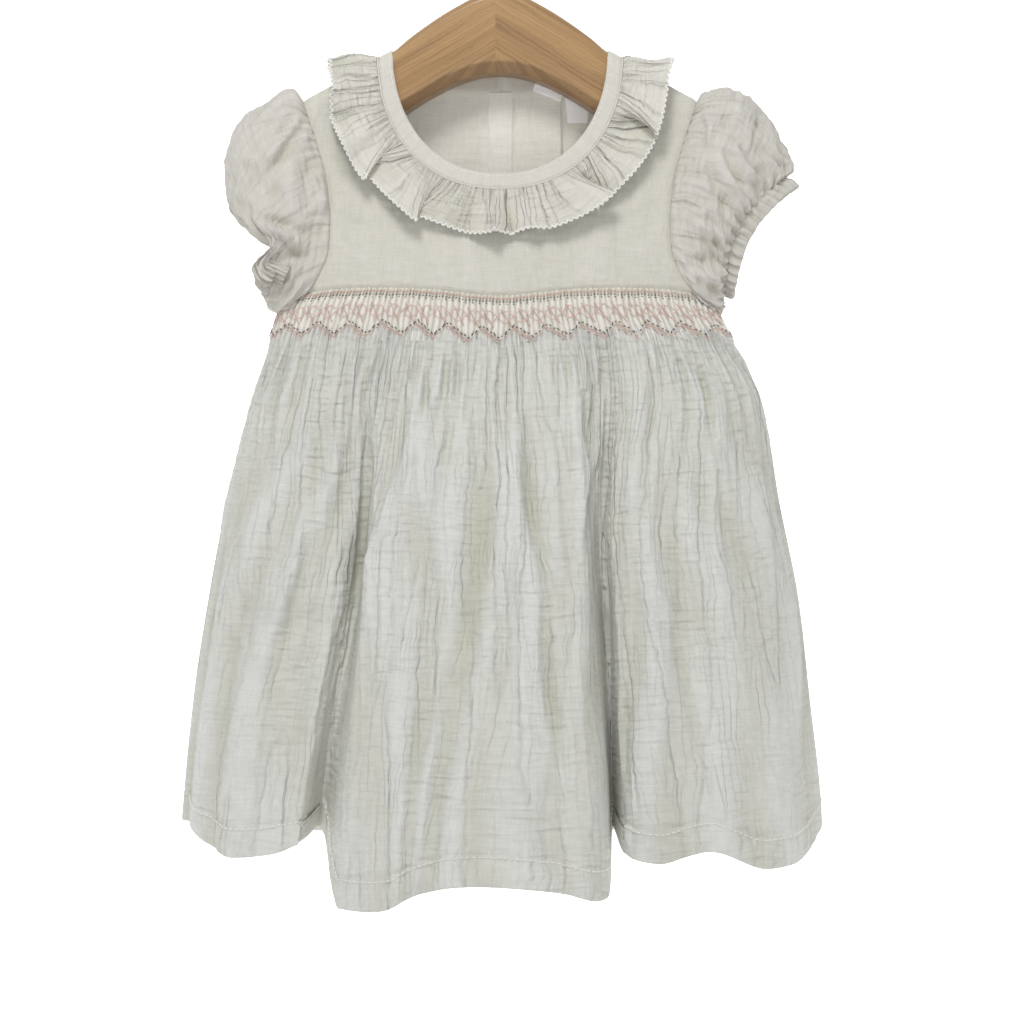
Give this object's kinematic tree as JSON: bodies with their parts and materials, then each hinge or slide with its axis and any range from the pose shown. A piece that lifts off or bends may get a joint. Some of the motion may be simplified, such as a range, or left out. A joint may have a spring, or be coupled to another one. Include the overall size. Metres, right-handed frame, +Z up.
{
  "type": "toddler dress on a hanger",
  "caption": "Short-sleeved toddler dress in ivory crinkled gauze, with a gathered ruffle collar, puff sleeves, a smocked high waist and a full skirt, hung open on a wooden hanger.",
  "frame": {"origin": "inside top of the hanger's hook, where a rail carries it, on the dress's middle plane", "axes": "+Z up along the hanging dress, -Y out of its front, +X to the right in a front view"},
  "size_m": [0.3595, 0.148, 0.5584],
  "materials": {
    "gauze": "crinkled cotton double gauze, ivory, matt",
    "binding": "smooth cotton binding, ivory, stitched at its outer seam",
    "smocked_gauze": "ivory gauze in fine pleats, stitched in pale pink and dark grey thread",
    "satin_label": "white woven satin tape, blank",
    "button_shell": "pearly ivory, four holes drawn in the look",
    "beech": "clear satin varnish, mitred grain",
    "steel": "bright plated wire"
  },
  "bodies": {
    "root": {"back_placket": "gauze", "button_1": "button_shell", "button_2": "button_shell", "button_3": "button_shell", "button_4": "button_shell", "collar_ruffle": "gauze", "cuff_left": "gauze", "cuff_right": "gauze", "hanger_arms": "beech", "hanger_hook": "steel", "label_care": "satin_label", "label_loop": "satin_label", "neckband": "binding", "skirt_back": "gauze", "skirt_front": "gauze", "sleeve_left": "gauze", "sleeve_right": "gauze", "smocked_band": "smocked_gauze", "yoke_back_left": "gauze", "yoke_back_right": "gauze", "yoke_front": "gauze"}
  },
  "joints": []
}
